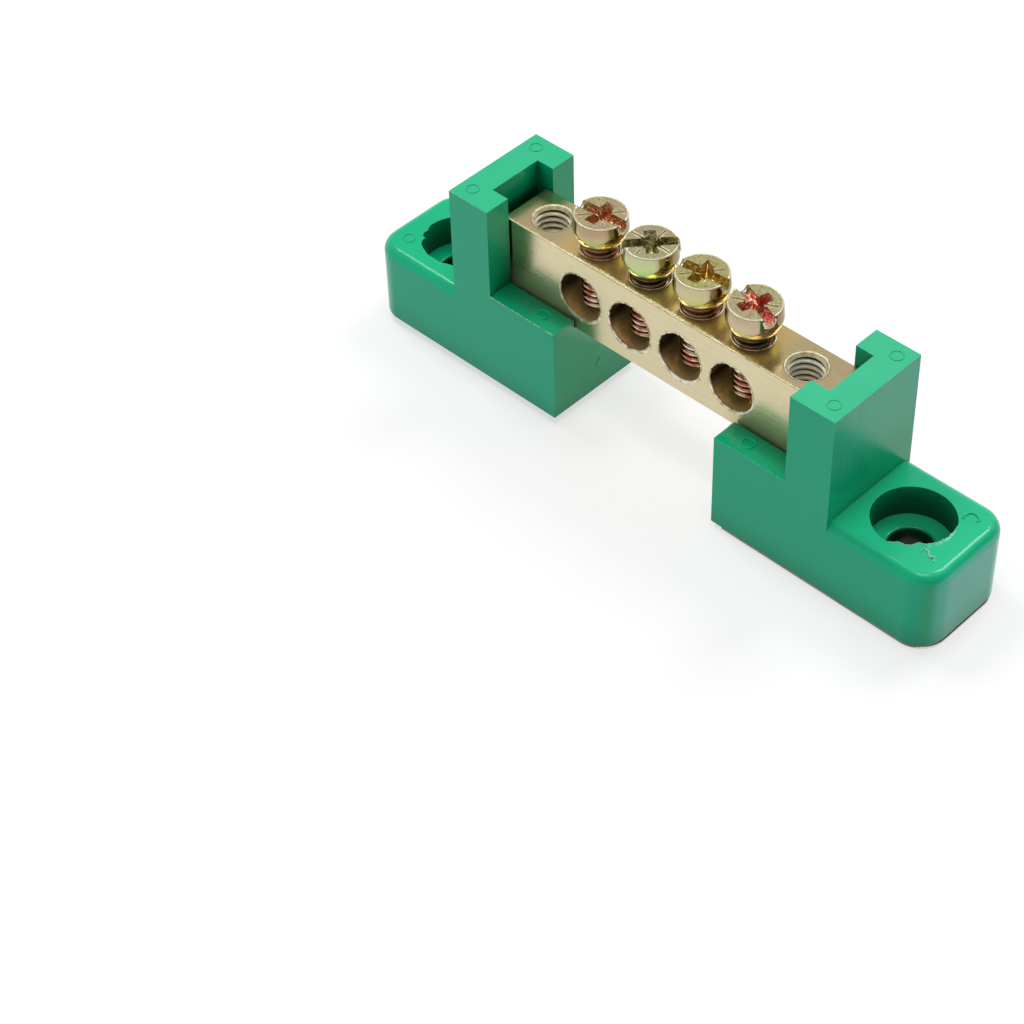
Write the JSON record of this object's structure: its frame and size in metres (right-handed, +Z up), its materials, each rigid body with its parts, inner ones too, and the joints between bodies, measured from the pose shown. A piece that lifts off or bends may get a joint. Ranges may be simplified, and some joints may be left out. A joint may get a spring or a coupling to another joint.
{
  "type": "earth terminal bar",
  "caption": "Brass earth terminal bar with clamp screws on two green screw-down feet, one foot wrapped by a folded earthing strip.",
  "frame": {"origin": "middle of the base: halfway between the two feet, on the plane that the earthing strip rests on", "axes": "+X along the bar towards the foot with the earthing strip, +Z up out of the clamp screws' heads, -Y the side that the wires enter in the picture"},
  "size_m": [0.0732, 0.0124, 0.0242],
  "materials": {
    "bar_brass": "satin machined brass",
    "screw_steel": "yellow zinc-plated steel",
    "foot_plastic": "satin-gloss moulded plastic",
    "strip_brass": "bright rolled brass sheet"
  },
  "bodies": {
    "terminal_body": {"bus_bar": "bar_brass", "foot_left": "foot_plastic", "foot_right": "foot_plastic", "earth_strip": "strip_brass", "foot_screw_left": "screw_steel", "foot_screw_right": "screw_steel"},
    "screw_1": {"clamp_screw_1": "screw_steel"},
    "screw_2": {"clamp_screw_2": "screw_steel"},
    "screw_3": {"clamp_screw_3": "screw_steel"},
    "screw_4": {"clamp_screw_4": "screw_steel"}
  },
  "joints": [
    {"name": "clamp_1", "type": "slide", "parent": "terminal_body", "child": "screw_1", "axis": [0, 0, 1], "range_m": [-0.0002, 0.0048]},
    {"name": "clamp_2", "type": "slide", "parent": "terminal_body", "child": "screw_2", "axis": [0, 0, 1], "range_m": [-0.0002, 0.0048]},
    {"name": "clamp_3", "type": "slide", "parent": "terminal_body", "child": "screw_3", "axis": [0, 0, 1], "range_m": [-0.0002, 0.0048]},
    {"name": "clamp_4", "type": "slide", "parent": "terminal_body", "child": "screw_4", "axis": [0, 0, 1], "range_m": [-0.0002, 0.0048]}
  ]
}
